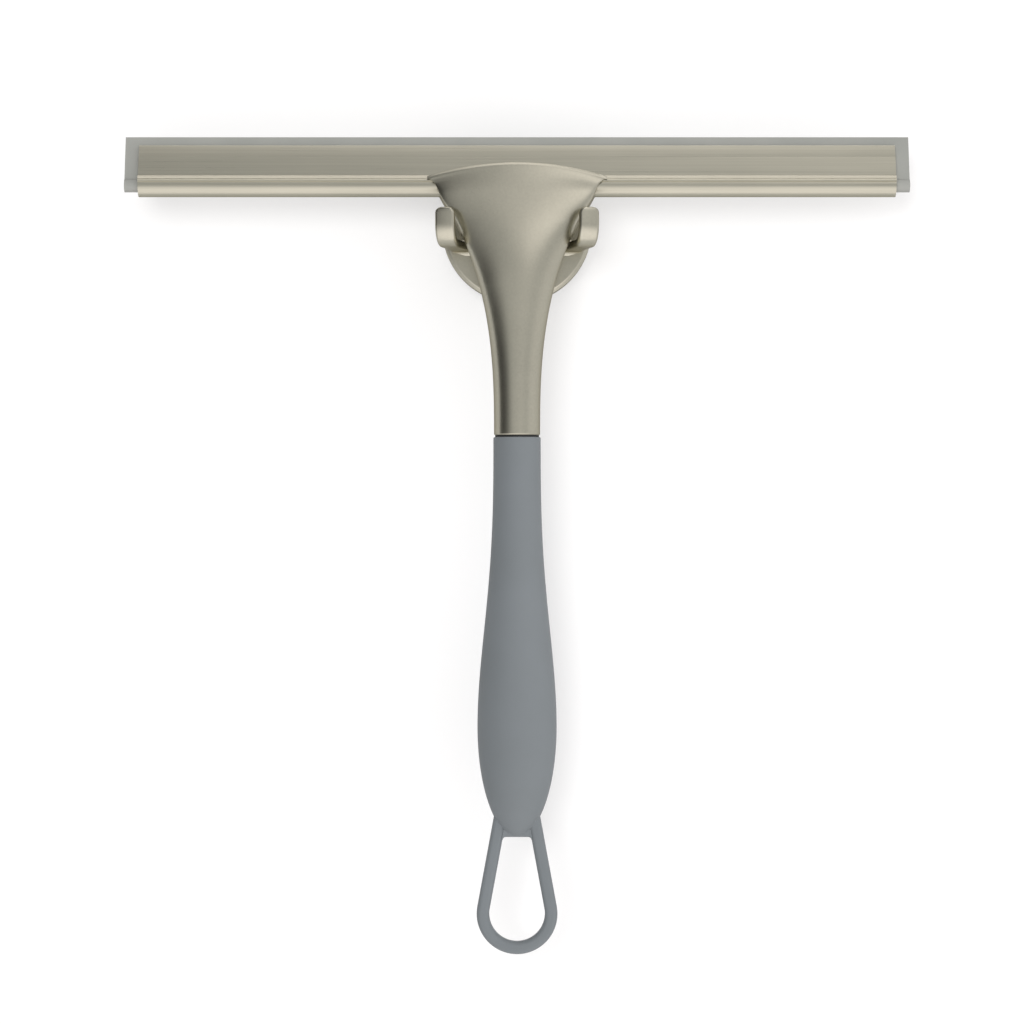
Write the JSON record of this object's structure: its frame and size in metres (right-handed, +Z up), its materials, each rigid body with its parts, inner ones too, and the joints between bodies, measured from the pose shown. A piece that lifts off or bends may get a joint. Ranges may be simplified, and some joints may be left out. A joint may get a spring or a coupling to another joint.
{
  "type": "window cleaning squeegee",
  "caption": "Squeegee with a soft blade in a metal channel, flared metal neck, soft grip and hanging loop, resting in the prongs of a suction hook.",
  "frame": {"origin": "centre of the suction cup's sealing face, on the wall", "axes": "+Z up along the hanging squeegee, +Y into the wall, +X along the blade to the viewer's right"},
  "size_m": [0.25, 0.0385, 0.2597],
  "materials": {
    "satin_nickel": "bead-blasted satin nickel",
    "brushed_channel": "satin, drawn lengthwise",
    "bright_steel": "turned",
    "blade_rubber": "smooth silicone",
    "soft_grip": "matte soft-touch",
    "dark_rubber": "matte",
    "core_plastic": "moulded",
    "clear_soft": "translucent soft vinyl"
  },
  "bodies": {
    "wall_cup": {"suction_cup": "clear_soft", "cup_stud": "bright_steel"},
    "hook": {"hook_plate": "satin_nickel", "snap_socket": "core_plastic", "snap_ring": "bright_steel"},
    "squeegee": {"blade_channel": "brushed_channel", "clamp_pad": "dark_rubber", "neck": "satin_nickel", "rear_clamp": "satin_nickel", "clamp_screws": "bright_steel", "neck_collar": "dark_rubber", "tang_rod": "bright_steel", "tang_washer": "bright_steel", "tang_nut": "bright_steel", "index_pins": "bright_steel", "handle_core": "core_plastic", "grip_sleeve": "soft_grip", "hang_loop": "soft_grip", "loop_pin": "bright_steel"},
    "blade": {"wiper_blade": "blade_rubber"}
  },
  "joints": [
    {"name": "hook_turn", "type": "hinge", "parent": "wall_cup", "child": "hook", "pos_m": [0, -0.008, 0], "axis": [0, 1, 0], "continuous": true},
    {"name": "squeegee_lift", "type": "slide", "parent": "hook", "child": "squeegee", "axis": [0, 0, 1], "range_m": [0, 0.24]},
    {"name": "blade_slide", "type": "slide", "parent": "squeegee", "child": "blade", "axis": [1, 0, 0], "range_m": [-0.25, 0.25]}
  ]
}
